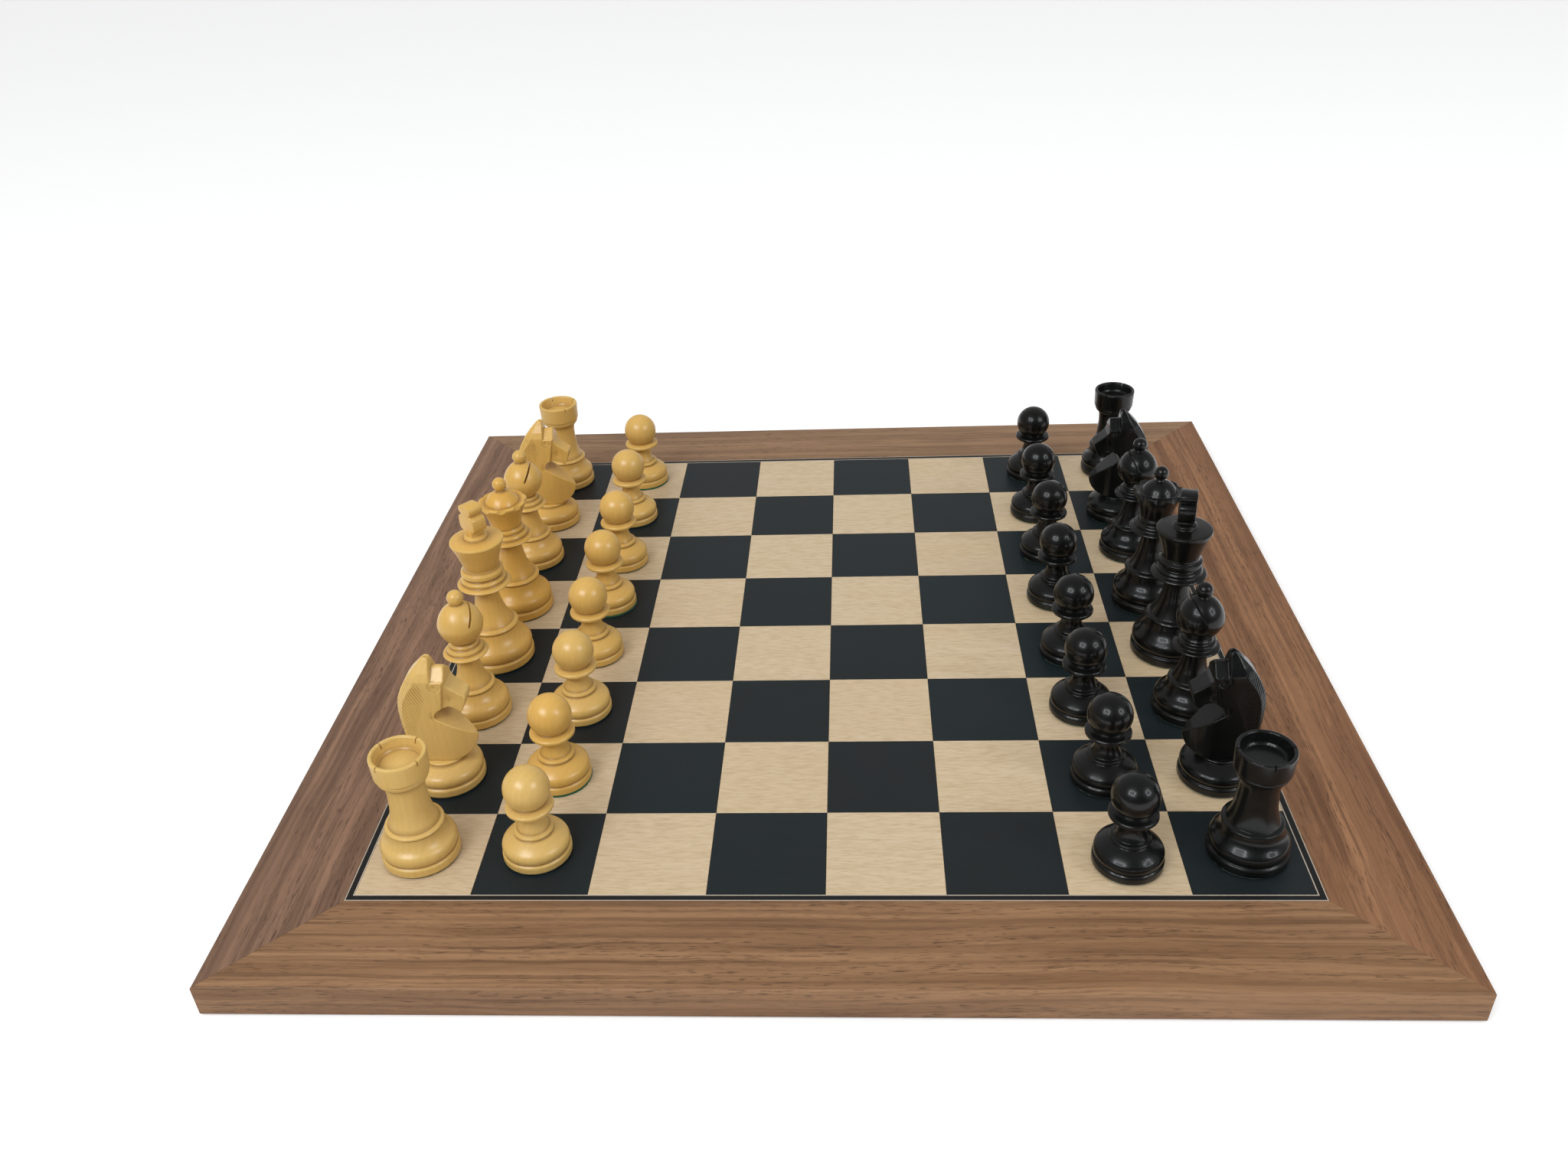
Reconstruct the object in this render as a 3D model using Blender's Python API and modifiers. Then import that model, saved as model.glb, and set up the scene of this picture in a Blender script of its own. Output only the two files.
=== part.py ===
"""Chess set standing on its board, ready to play.

+Z is up. White stands on the -X side and Black on the +X side; file h is the one
at -Y. The origin is under the middle of the board. Sizes below are in millimetres
and MM turns them into metres.
"""

import math

import bmesh
import bpy
from mathutils import Matrix, Vector

MM = 0.001

# Board
SQUARE = 50.0
BOARD_SIDE = 500.0
BOARD_THICK = 15.5
FIELD = 8 * SQUARE
BAND_WIDTH = 3.3
VENEER = 1.2
EASED_EDGE = 0.8
GLUE_LINE = 0.1

# Pieces
SEAT_GAP = 0.3
BACK_RANK = 3.5 * SQUARE
PAWN_RANK = 2.5 * SQUARE
FILES = "hgfedcba"
BACK_ROW = "rook knight bishop king queen bishop knight rook".split()
ROUND_SIDES = 20
PAWN_SIDES = 16
ARC_STEP = math.radians(40)

# Turned profiles, bottom to top: radius, height and the bulge of the arc to the
# next corner (tangent of a quarter of its angle; 0 is a straight line).
PAWN = (
    (0, 0, 0), (15.0, 0, 0), (15.0, 3.9, 0), (14.1, 5.0, 0.5), (13.2, 9.6, 0),
    (8.3, 13.7, 0), (8.3, 14.8, 0), (7.0, 15.4, 0), (5.0, 22.0, 0),
    (5.6, 25.2, 0), (10.9, 27.2, 0), (7.1, 29.2, 0.669), (0, 46.6, 0),
)
ROOK = (
    (0, 0, 0), (16.9, 0, 0), (16.9, 4.2, 0), (15.8, 5.4, 0.5), (15.0, 10.8, 0),
    (12.4, 17.4, 0), (12.7, 18.9, 0), (10.9, 20.2, -0.12), (8.3, 34.0, 0),
    (8.9, 42.2, 0), (10.5, 43.4, 0), (11.8, 46.3, 0), (12.1, 56.4, 0),
    (9.9, 56.4, 0), (9.4, 50.9, 0), (0, 50.9, 0),
)
KNIGHT_BASE = (
    (0, 0, 0), (16.9, 0, 0), (16.9, 4.2, 0), (15.8, 5.4, 0.5), (14.8, 10.8, 0),
    (9.6, 13.6, 0), (9.6, 14.4, 0), (0, 14.4, 0),
)
BISHOP = (
    (0, 0, 0), (16.9, 0, 0), (16.9, 4.2, 0), (15.8, 5.4, 0.5), (14.6, 10.8, 0),
    (10.7, 17.0, 0), (10.9, 18.3, 0), (9.0, 19.6, -0.1), (5.4, 32.0, 0),
    (5.8, 35.6, 0), (11.1, 37.8, 0), (8.8, 40.4, 0), (8.4, 42.0, 0),
    (5.9, 44.2, 0.25), (11.05, 53.8, 0.3), (3.3, 65.3, 0.75), (0, 72.0, 0),
)
QUEEN = (
    (0, 0, 0), (18.6, 0, 0), (18.6, 4.6, 0), (17.4, 5.8, 0.5), (16.4, 12.2, 0),
    (12.9, 19.8, 0), (13.2, 21.3, 0), (11.0, 22.8, -0.1), (6.2, 40.0, 0),
    (6.4, 43.6, 0), (13.2, 46.2, 0), (11.0, 49.0, 0), (10.6, 51.4, 0),
    (8.4, 53.8, -0.08), (13.1, 67.2, 0), (11.8, 68.2, 0), (9.4, 67.2, 0.2),
    (2.2, 74.4, 0.75), (0, 81.6, 0),
)
KING = (
    (0, 0, 0), (19.3, 0, 0), (19.3, 4.8, 0), (18.1, 6.0, 0.5), (17.0, 12.6, 0),
    (13.3, 20.4, 0), (13.6, 22.0, 0), (11.4, 23.6, -0.1), (5.9, 41.0, 0),
    (6.2, 44.4, 0), (13.7, 47.0, 0), (11.2, 50.0, 0), (10.8, 54.8, 0),
    (8.9, 57.2, -0.06), (13.6, 71.0, 0), (13.3, 72.2, 0), (5.9, 73.3, 0),
    (4.9, 75.2, 0), (0, 75.6, 0),
)

# King's cross, seen square on: half of the outline, bottom to top.
CROSS_THICK = 8.0
CROSS_HALF = (
    (3.2, 75.9), (3.0, 77.4), (5.6, 78.8), (6.2, 82.4), (5.6, 86.0),
    (2.6, 87.0), (4.6, 88.0), (4.9, 89.8), (3.2, 91.9), (0.0, 92.4),
)

# Knight's head from its right side: forward, height.
HEAD = (
    (-9.4, 14.7), (8.2, 15.1), (14.0, 17.8), (17.2, 22.2), (17.7, 25.0), (13.8, 29.6),
    (6.4, 35.6), (1.6, 39.3), (3.8, 43.6), (8.6, 44.7), (13.0, 41.2), (15.4, 44.2),
    (16.9, 49.2), (12.2, 53.2), (8.3, 57.0), (8.1, 63.9), (2.6, 63.8), (2.2, 68.4),
    (1.4, 69.3), (0.1, 69.2), (-3.9, 65.5), (-9.2, 59.2), (-13.4, 51.8), (-15.0, 44.5),
    (-14.9, 36.5), (-13.5, 27.0), (-10.6, 15.6),
)
# Half of the head's thickness by height, and what the chest and muzzle lose forwards.
HEAD_HALF = ((14, 7.0), (45, 7.1), (59.3, 6.9), (63, 5.3), (67, 2.9), (69.4, 1.7))
ROOF_HALF = ((14, 7.1), (58.9, 6.9), (59.3, 6.0), (64, 1.1))
CHEST_HALF = ((5, 7.0), (9, 6.2), (13, 4.2), (18, 0.8))
MUZZLE_HALF = ((6.2, 7.0), (7.0, 4.9), (17, 4.3))
CHIN_HEIGHT = 40.4
ROOF_FRONT = 2.85
EYE = (4.2, 56.7)
EYE_RADIUS = 2.4
EYE_STANDS_OUT = 0.4
EAR_CLEFT = ((4.5, 66.4), (4.5, 72.0), (-6.0, 72.0), (-2.6, 66.4))
CLEFT_WIDTH = 1.2

# How the pieces were set down: off the middle of the square along X and Y, and
# turned about their own axis in degrees.
STANCE = {
    "white_rook_h": (-2.6, 0.3, 14), "white_knight_g": (-3.6, 1.4, 0),
    "white_bishop_f": (-2.2, 0.9, 35), "white_king": (-3.4, 0.0, 49),
    "white_queen": (-1.9, -1.4, 0), "white_bishop_c": (-3.9, 1.0, 13),
    "white_knight_b": (-2.6, -1.7, 0), "white_rook_a": (-2.5, 2.0, -12),
    "white_pawn_h": (-1.0, 0.5, 0), "white_pawn_g": (-1.0, 0.6, 0),
    "white_pawn_f": (0.6, 1.4, 0), "white_pawn_e": (-0.6, 0.9, 0),
    "white_pawn_d": (-0.8, 0.0, 0), "white_pawn_c": (0.0, -3.8, 0),
    "white_pawn_b": (-1.2, 0.0, 0), "white_pawn_a": (-0.6, 1.3, 0),
    "black_rook_h": (2.7, -0.3, 46), "black_knight_g": (1.2, -0.9, 0),
    "black_bishop_f": (-0.6, -1.3, 8), "black_king": (1.0, -0.6, -13),
    "black_queen": (-1.3, -3.1, 0), "black_bishop_c": (-1.1, 0.4, 0),
    "black_knight_b": (-1.4, -5.0, 0), "black_rook_a": (4.0, 4.0, 10),
    "black_pawn_h": (1.9, -5.9, 0), "black_pawn_g": (0.7, -2.5, 0),
    "black_pawn_f": (-2.0, -1.2, 0), "black_pawn_e": (-0.6, -3.0, 0),
    "black_pawn_d": (-1.1, -0.6, 0), "black_pawn_c": (0.6, -1.0, 0),
    "black_pawn_b": (0.2, -2.7, 0), "black_pawn_a": (3.6, 0.4, 0),
}


def clear_scene():
    for obj in list(bpy.data.objects):
        bpy.data.objects.remove(obj, do_unlink=True)


def new_collection(name):
    made = bpy.data.collections.new(name)
    bpy.context.scene.collection.children.link(made)
    return made


def wood(name, colour, roughness):
    made = bpy.data.materials.new(name)
    made.use_nodes = True
    shader = made.node_tree.nodes["Principled BSDF"]
    shader.inputs["Base Color"].default_value = (*colour, 1)
    shader.inputs["Roughness"].default_value = roughness
    shader.inputs["Metallic"].default_value = 0
    made.diffuse_color = (*colour, 1)
    return made


def add_object(name, mesh, material, collection, place=Matrix()):
    if material and not mesh.materials:
        mesh.materials.append(material)
    obj = bpy.data.objects.new(name, mesh)
    obj.matrix_world = place
    collection.objects.link(obj)
    return obj


def mesh_from(name, points, edges=(), faces=()):
    """Mesh from millimetre points, its faces turned outwards."""
    mesh = bpy.data.meshes.new(name)
    mesh.from_pydata([[value * MM for value in point] for point in points], edges, faces)
    shape = bmesh.new()
    shape.from_mesh(mesh)
    bmesh.ops.recalc_face_normals(shape, faces=shape.faces)
    shape.to_mesh(mesh)
    shape.free()
    return mesh


def loft(name, first, last):
    """Closed solid between two matching outlines."""
    count = len(first)
    sides = [(i, (i + 1) % count, (i + 1) % count + count, i + count) for i in range(count)]
    caps = [tuple(range(count)), tuple(range(2 * count - 1, count - 1, -1))]
    return mesh_from(name, [*first, *last], faces=sides + caps)


def slab(name, low, high, material, collection):
    """Box between two corners."""
    corners = ((low[0], low[1]), (high[0], low[1]), (high[0], high[1]), (low[0], high[1]))
    floor = [(x, y, low[2]) for x, y in corners]
    roof = [(x, y, high[2]) for x, y in corners]
    return add_object(name, loft(name, floor, roof), material, collection)


def mitred_run(name, section, angle, material, collection):
    """One side of a square frame: the section is (distance from centre, height)."""
    near = [(across, GLUE_LINE - across, height) for across, height in section]
    far = [(across, across - GLUE_LINE, height) for across, height in section]
    turn = Matrix.Rotation(math.radians(angle), 4, "Z")
    return add_object(name, loft(name, near, far), material, collection, turn)


def rounded_outline(profile):
    """Corner points of a profile with its arcs cut into short chords."""
    points = []
    for (x0, y0, bulge), (x1, y1, _) in zip(profile, profile[1:]):
        points.append((x0, y0))
        if not bulge:
            continue
        sweep = 4 * math.atan(bulge)
        parts = max(2, math.ceil(abs(sweep) / ARC_STEP))
        offset = 0.5 / math.tan(sweep / 2)
        centre_x = (x0 + x1) / 2 - (y1 - y0) * offset
        centre_y = (y0 + y1) / 2 + (x1 - x0) * offset
        start = math.atan2(y0 - centre_y, x0 - centre_x)
        radius = math.hypot(x0 - centre_x, y0 - centre_y)
        for part in range(1, parts):
            angle = start + sweep * part / parts
            x = centre_x + radius * math.cos(angle)
            points.append((x, centre_y + radius * math.sin(angle)))
    points.append(profile[-1][:2])
    return points


def profile_mesh(name, profile, material):
    """Half section of a turned piece as a line of edges at +X, top to bottom."""
    points = [(x, 0, z) for x, z in reversed(rounded_outline(profile))]
    edges = [(i, i + 1) for i in range(len(points) - 1)]
    mesh = mesh_from(name, points, edges)
    mesh.materials.append(material)
    return mesh


def turn_on_lathe(obj, sides):
    screw = obj.modifiers.new("Turning", "SCREW")
    screw.axis = "Z"
    screw.angle = math.tau
    screw.screw_offset = 0
    screw.steps = sides
    screw.render_steps = sides
    screw.use_merge_vertices = True
    screw.merge_threshold = 0.00001
    screw.use_smooth_shade = True


def side_prism(name, outline, thick):
    """Outline in the forward-up plane, given its thickness across."""
    right = [(x, -thick / 2, z) for x, z in outline]
    left = [(x, thick / 2, z) for x, z in outline]
    return loft(name, right, left)


def cut(obj, tool_mesh, helpers, operation="DIFFERENCE"):
    """Booleans a hidden tool, standing where the piece stands, into the piece."""
    tool = add_object(obj.name + "_" + tool_mesh.name, tool_mesh, None, helpers, obj.matrix_world)
    tool.hide_render = True
    tool.display_type = "WIRE"
    boolean = obj.modifiers.new(tool_mesh.name, "BOOLEAN")
    boolean.operation = operation
    boolean.solver = "EXACT"
    boolean.object = tool


def crenel_tool():
    """Plus-shaped blade that saws the four slits across the rook's rim."""
    reach, half, low, high = 15.0, 0.6, 54.0, 58.0
    arm = [Vector((half, half)), Vector((reach, half)), Vector((reach, -half))]
    plan = []
    for quarter in range(4):
        spin = Matrix.Rotation(math.radians(45 - 90 * quarter), 2)
        plan.extend(spin @ corner for corner in arm)
    return loft("crenels", [(*p, low) for p in plan], [(*p, high) for p in plan])


def mitre_slot_tool():
    """Thin leaning blade that saws the bishop's slot, open to the front."""
    lean, half = math.radians(30), 0.6
    along = (math.sin(lean), math.cos(lean))
    across = (half * along[1], -half * along[0])
    low = (0.9, 55.6)
    high = (low[0] + 20 * along[0], low[1] + 20 * along[1])
    outline = [
        (low[0] + across[0], low[1] + across[1]), (high[0] + across[0], high[1] + across[1]),
        (high[0] - across[0], high[1] - across[1]), (low[0] - across[0], low[1] - across[1]),
    ]
    return side_prism("slot", outline, 30)


def scallop_tool():
    """Ring of upright round bars that notch the queen's coronet."""
    count, radius, from_axis = 9, 2.6, 15.0
    shape = bmesh.new()
    for notch in range(count):
        at = Matrix.Rotation(math.tau * notch / count, 4, "Z")
        at @= Matrix.Translation((from_axis * MM, 0, 67 * MM))
        bmesh.ops.create_cone(
            shape, cap_ends=True, segments=6, matrix=at,
            radius1=radius * MM, radius2=radius * MM, depth=12 * MM,
        )
    mesh = bpy.data.meshes.new("scallops")
    shape.to_mesh(mesh)
    shape.free()
    return mesh


def eye_tool():
    """Round bar through the head whose two ends are the eyes."""
    half = half_thickness(*EYE) + EYE_STANDS_OUT
    rim = [math.tau * step / 12 for step in range(12)]
    ring = [(EYE[0] + EYE_RADIUS * math.cos(a), EYE[1] + EYE_RADIUS * math.sin(a)) for a in rim]
    return side_prism("eyes", ring, 2 * half)


def between(value, table):
    """Value on the straight lines through a table's points."""
    for (x0, y0), (x1, y1) in zip(table, table[1:]):
        if value <= x1:
            return y0 + (y1 - y0) * max(0.0, value - x0) / (x1 - x0)
    return table[-1][1]


def half_thickness(forward, height):
    """Half of the head's thickness at a point of its side view."""
    half = between(height, HEAD_HALF if forward < ROOF_FRONT else ROOF_HALF)
    table = MUZZLE_HALF if height > CHIN_HEIGHT else CHEST_HALF
    return min(half, between(forward, table))


def head_mesh(name, material):
    """Knight's head: a flat blank with its chest, muzzle, forelock and ears thinned."""
    mesh = side_prism(name, HEAD, 2)
    mesh.materials.append(material)
    shape = bmesh.new()
    shape.from_mesh(mesh)
    forward = [(x, 0) for x in (6.2, 7.0, 10.5, 14.0)]
    upward = [(0, z) for z in (CHIN_HEIGHT, 58.9, 59.3, 63.0, 67.0)]
    for x, z in (*forward, *upward):
        bmesh.ops.bisect_plane(
            shape, geom=[*shape.verts, *shape.edges, *shape.faces],
            plane_co=(x * MM, 0, z * MM), plane_no=(1, 0, 0) if x else (0, 0, 1), dist=1e-7,
        )
    for vertex in shape.verts:
        half = half_thickness(vertex.co.x / MM, vertex.co.z / MM)
        vertex.co.y = math.copysign(half * MM, vertex.co.y)
    bmesh.ops.triangulate(shape, faces=shape.faces)
    shape.to_mesh(mesh)
    shape.free()
    return mesh


def cross_mesh(name, material):
    """Thick cross, across the board when unturned."""
    outline = list(CROSS_HALF) + [(-x, z) for x, z in reversed(CROSS_HALF[:-1])]
    mesh = side_prism(name, outline, CROSS_THICK)
    mesh.materials.append(material)
    mesh.transform(Matrix.Rotation(math.pi / 2, 4, "Z"))
    return mesh


def place_for(key, side, rank, row):
    """Where a piece stands: White looks along +X, Black back along -X."""
    off_x, off_y, turned = STANCE[key]
    facing = math.radians(turned) + (math.pi if side > 0 else 0)
    x = side * rank + off_x
    y = (row - 3.5) * SQUARE + off_y
    height = BOARD_THICK + SEAT_GAP
    spot = Matrix.Translation((x * MM, y * MM, height * MM))
    return spot @ Matrix.Rotation(facing, 4, "Z")


def build_board(parts, walnut, maple, black, core):
    top = BOARD_THICK
    under = top - VENEER
    field = FIELD / 2
    inner = field + BAND_WIDTH
    slab(
        "core_panel", (-inner, -inner, VENEER + GLUE_LINE),
        (inner, inner, under - GLUE_LINE), core, parts,
    )
    slab("backing_veneer", (-inner, -inner, 0), (inner, inner, VENEER), maple, parts)
    for rank in range(8):
        low = -field + rank * SQUARE + GLUE_LINE / 2
        high = low + SQUARE - GLUE_LINE
        name = f"rank_strip_{rank + 1}"
        slab(name, (low, -field, under), (high, field, top), maple, parts)
    band_in = field + GLUE_LINE
    band = [(band_in, under), (inner, under), (inner, top), (band_in, top)]
    rail_in = inner + GLUE_LINE
    rail_out = BOARD_SIDE / 2
    rail = [
        (rail_in, 0), (rail_out - EASED_EDGE, 0), (rail_out, EASED_EDGE),
        (rail_out, top - EASED_EDGE), (rail_out - EASED_EDGE, top), (rail_in, top),
    ]
    for angle, side in ((0, "right"), (90, "back"), (180, "left"), (270, "front")):
        mitred_run("inlay_band_" + side, band, angle, black, parts)
        mitred_run("frame_rail_" + side, rail, angle, walnut, parts)


def build_army(colour, side, material, tools, parts, helpers):
    turned = {
        "rook": ROOK, "knight": KNIGHT_BASE, "bishop": BISHOP,
        "queen": QUEEN, "king": KING, "pawn": PAWN,
    }
    meshes = {
        kind: profile_mesh(f"{colour}_{kind}_profile", profile, material)
        for kind, profile in turned.items()
    }
    head = head_mesh(f"{colour}_head", material)
    cross = cross_mesh(f"{colour}_cross", material)
    for row, kind in enumerate(BACK_ROW):
        alone = kind in ("king", "queen")
        key = f"{colour}_{kind}" if alone else f"{colour}_{kind}_{FILES[row]}"
        place = place_for(key, side, BACK_RANK, row)
        name = key + "_base" if kind == "knight" else key
        piece = add_object(name, meshes[kind], material, parts, place)
        turn_on_lathe(piece, ROUND_SIDES)
        if kind in tools:
            cut(piece, tools[kind], helpers)
        if kind == "king":
            add_object(key + "_cross", cross, material, parts, place)
        if kind == "knight":
            carve_head(key + "_head", head, place, tools, parts, helpers)
    for row, file in enumerate(FILES):
        key = f"{colour}_pawn_{file}"
        place = place_for(key, side, PAWN_RANK, row)
        pawn = add_object(key, meshes["pawn"], material, parts, place)
        turn_on_lathe(pawn, PAWN_SIDES)


def carve_head(name, mesh, place, tools, parts, helpers):
    head = add_object(name, mesh, None, parts, place)
    cut(head, tools["eyes"], helpers, "UNION")
    cut(head, tools["ears"], helpers)


def main():
    clear_scene()
    parts = new_collection("Chess_set")
    helpers = new_collection("Cutting_tools")
    walnut = wood("walnut", (0.27, 0.15, 0.09), 0.45)
    maple = wood("maple", (0.72, 0.55, 0.36), 0.40)
    dyed = wood("black_dyed_veneer", (0.018, 0.022, 0.026), 0.42)
    core = wood("fibreboard", (0.36, 0.25, 0.15), 0.85)
    boxwood = wood("boxwood", (0.66, 0.43, 0.18), 0.32)
    ebonised = wood("ebonised_wood", (0.012, 0.011, 0.010), 0.25)
    tools = {
        "rook": crenel_tool(), "bishop": mitre_slot_tool(), "queen": scallop_tool(),
        "eyes": eye_tool(), "ears": side_prism("ears", EAR_CLEFT, CLEFT_WIDTH),
    }
    build_board(parts, walnut, maple, dyed, core)
    build_army("white", -1, boxwood, tools, parts, helpers)
    build_army("black", 1, ebonised, tools, parts, helpers)


main()
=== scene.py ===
"""Looks of the wooden chess set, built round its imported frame.

Frame: metres, +Z up, White at -X, Black at +X, file h at -Y. Sizes in the tables
below are in millimetres, and MM turns them into metres.
"""

import math
import random

import bmesh
import bpy
import numpy as np
from mathutils import Matrix, Vector


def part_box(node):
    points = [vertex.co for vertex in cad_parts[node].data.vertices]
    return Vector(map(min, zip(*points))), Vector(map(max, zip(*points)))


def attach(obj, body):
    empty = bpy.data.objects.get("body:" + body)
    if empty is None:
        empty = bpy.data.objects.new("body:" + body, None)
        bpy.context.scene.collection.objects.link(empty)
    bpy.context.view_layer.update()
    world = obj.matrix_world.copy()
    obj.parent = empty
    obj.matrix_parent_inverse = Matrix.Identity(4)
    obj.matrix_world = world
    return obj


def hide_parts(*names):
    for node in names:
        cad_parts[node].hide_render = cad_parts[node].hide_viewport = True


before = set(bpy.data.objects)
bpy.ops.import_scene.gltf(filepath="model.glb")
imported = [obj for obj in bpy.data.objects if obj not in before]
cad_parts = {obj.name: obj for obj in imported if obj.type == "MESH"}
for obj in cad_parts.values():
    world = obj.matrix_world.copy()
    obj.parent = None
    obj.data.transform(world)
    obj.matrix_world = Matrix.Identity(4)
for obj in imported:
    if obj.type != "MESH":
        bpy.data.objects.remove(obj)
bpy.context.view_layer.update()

MM = 0.001
SEED = 20261117
SIDES = 96
FELT_THICK = 0.7
FIELD = 200.0
SQUARE = 50.0

# ---------------------------------------------------------------- turned profiles
# Bottom to top: radius, height, and bulge of the arc to the next corner. The bulge is the
# tangent of a quarter of the arc's angle: above 0 it swells out, below 0 it is hollow.
PAWN = (
    (0, 0.6, 0), (14.7, 0.6, 0), (15.05, 1.0, 0), (15.05, 3.7, 0), (14.75, 4.2, 0),
    (14.1, 4.7, 0), (14.25, 5.1, 0.34), (13.5, 9.7, 0.09), (8.3, 13.1, 0),
    (8.0, 13.4, 0), (8.6, 13.8, 0), (8.75, 14.4, 0), (8.5, 15.0, 0), (7.8, 15.4, 0),
    (7.0, 15.7, -0.1), (5.1, 21.4, -0.06), (5.3, 24.0, 0), (6.0, 24.9, 0), (7.8, 25.5, 0),
    (9.9, 26.0, 0), (10.4, 26.4, 0), (10.45, 27.5, 0), (10.0, 28.1, 0), (8.2, 28.5, 0),
    (7.0, 29.1, 0.669), (0, 46.6, 0),
)
ROOK = (
    (0, 0.6, 0), (16.6, 0.6, 0), (16.95, 1.0, 0), (16.95, 4.0, 0), (16.6, 4.6, 0),
    (15.8, 5.1, 0), (15.95, 5.5, 0.39), (15.0, 11.2, -0.20), (12.1, 16.9, 0),
    (11.9, 17.4, 0), (12.6, 17.7, 0), (12.85, 18.3, 0), (12.5, 18.9, 0), (10.9, 19.6, -0.1),
    (8.5, 31.5, -0.06), (8.4, 39.5, 0), (8.9, 42.0, 0), (10.0, 42.9, 0), (10.7, 43.6, 0),
    (11.2, 44.9, 0), (11.1, 45.6, 0), (10.7, 45.8, 0), (10.7, 46.0, 0), (11.7, 46.2, 0),
    (11.85, 46.7, 0), (12.15, 55.6, 0), (11.95, 56.2, 0), (11.5, 56.45, 0), (10.8, 56.4, 0),
    (10.3, 56.0, 0), (9.9, 54.8, 0), (9.2, 52.0, 0), (8.4, 51.0, 0), (0, 50.7, 0),
)
KNIGHT_BASE = (
    (0, 0.6, 0), (16.6, 0.6, 0), (16.95, 1.0, 0), (16.95, 4.0, 0), (16.6, 4.6, 0),
    (15.8, 5.1, 0), (15.95, 5.5, 0.42), (14.9, 10.6, 0.05), (9.9, 13.2, 0), (9.4, 13.4, 0),
    (9.6, 13.8, 0), (9.6, 14.4, 0), (9.2, 14.8, 0), (0, 14.8, 0),
)
BISHOP = (
    (0, 0.6, 0), (16.6, 0.6, 0), (16.95, 1.0, 0), (16.95, 4.0, 0), (16.6, 4.6, 0),
    (15.8, 5.1, 0), (15.95, 5.5, 0.39), (14.5, 11.3, -0.17), (10.7, 16.5, 0),
    (10.4, 17.1, 0), (10.9, 17.6, 0), (11.0, 18.3, 0), (10.4, 18.9, 0), (9.0, 19.5, -0.1),
    (5.6, 31.0, -0.05), (5.5, 34.2, 0), (6.4, 35.6, 0), (10.5, 37.0, 0), (11.15, 37.6, 0),
    (10.7, 38.3, 0), (9.1, 38.9, 0), (8.7, 39.3, 0), (8.9, 40.1, 0), (8.5, 41.0, 0),
    (7.4, 41.5, 0), (7.0, 42.0, 0), (7.2, 42.8, 0), (6.6, 43.6, 0), (5.9, 44.0, 0),
    (6.3, 44.8, 0.23), (11.05, 53.8, 0.27), (3.0, 64.9, 0), (2.7, 65.3, 0.7), (0, 72.0, 0),
)
QUEEN = (
    (0, 0.6, 0), (18.3, 0.6, 0), (18.65, 1.0, 0), (18.65, 4.3, 0), (18.3, 4.9, 0),
    (17.4, 5.5, 0), (17.55, 5.9, 0.39), (16.5, 12.3, -0.19), (12.7, 19.3, 0),
    (12.4, 20.0, 0), (13.1, 20.5, 0), (13.3, 21.3, 0), (12.7, 22.0, 0), (11.0, 22.7, -0.1),
    (6.7, 36.5, -0.05), (6.1, 42.0, 0), (6.9, 43.9, 0), (12.6, 45.2, 0), (13.45, 45.9, 0),
    (13.0, 46.6, 0), (11.2, 47.4, 0), (10.8, 47.9, 0), (11.0, 48.7, 0), (10.5, 49.6, 0),
    (9.3, 50.2, 0), (9.0, 50.8, 0), (9.2, 51.6, 0), (8.8, 52.6, 0), (8.3, 53.4, -0.06),
    (9.7, 59.8, -0.06), (13.15, 66.8, 0), (13.2, 67.8, 0), (12.3, 68.3, 0), (10.4, 67.5, 0),
    (9.2, 67.6, 0.2), (2.6, 73.9, 0), (2.1, 74.8, 0.72), (0, 81.7, 0),
)
KING = (
    (0, 0.6, 0), (19.0, 0.6, 0), (19.35, 1.0, 0), (19.35, 4.5, 0), (19.0, 5.1, 0),
    (18.1, 5.7, 0), (18.25, 6.1, 0.38), (17.2, 12.8, -0.17), (13.1, 19.9, 0),
    (12.8, 20.6, 0), (13.5, 21.1, 0), (13.7, 21.9, 0), (13.1, 22.7, 0), (11.4, 23.5, -0.1),
    (6.5, 37.5, -0.05), (5.8, 42.6, 0), (6.8, 44.8, 0), (13.0, 46.1, 0), (13.8, 46.8, 0),
    (13.3, 47.6, 0), (11.5, 48.3, 0), (11.1, 48.9, 0), (11.4, 49.8, 0), (10.8, 50.8, 0),
    (9.9, 51.3, 0), (9.6, 51.8, 0), (10.9, 53.0, 0), (10.8, 54.9, 0), (9.3, 56.0, 0),
    (8.95, 57.2, -0.05), (13.2, 70.4, 0), (13.1, 70.8, 0), (13.65, 71.2, 0), (13.5, 72.2, 0),
    (12.2, 72.6, 0), (6.2, 73.2, 0), (5.9, 73.5, 0), (5.7, 74.6, 0), (4.7, 75.3, 0),
    (3.5, 75.7, 0), (0, 75.8, 0),
)
PROFILES = {
    "pawn": PAWN, "rook": ROOK, "knight": KNIGHT_BASE,
    "bishop": BISHOP, "queen": QUEEN, "king": KING,
}
BASE_RADIUS = {
    "pawn": 15.05, "rook": 16.95, "knight": 16.95, "bishop": 16.95, "queen": 18.65,
    "king": 19.35,
}
# Half of the king's cross seen square on, bottom to top: distance from the axis, height.
CROSS = (
    (0, 75.4), (3.3, 75.4), (2.9, 76.6), (3.1, 77.8), (5.2, 78.6), (6.0, 79.8), (6.25, 82.4),
    (5.9, 85.2), (5.2, 86.2), (3.2, 87.0), (2.7, 87.4), (3.2, 87.8), (4.6, 88.4),
    (5.0, 89.6), (4.6, 91.2), (3.3, 92.1), (0, 92.5),
)
# Turn of each piece about its own axis, in degrees.
TURNED = {
    "white_rook_h": 14, "white_bishop_f": 35, "white_king": 49, "white_bishop_c": 13,
    "white_rook_a": -12, "black_rook_h": 46, "black_bishop_f": 8, "black_king": -13,
    "black_rook_a": 10,
}
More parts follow.
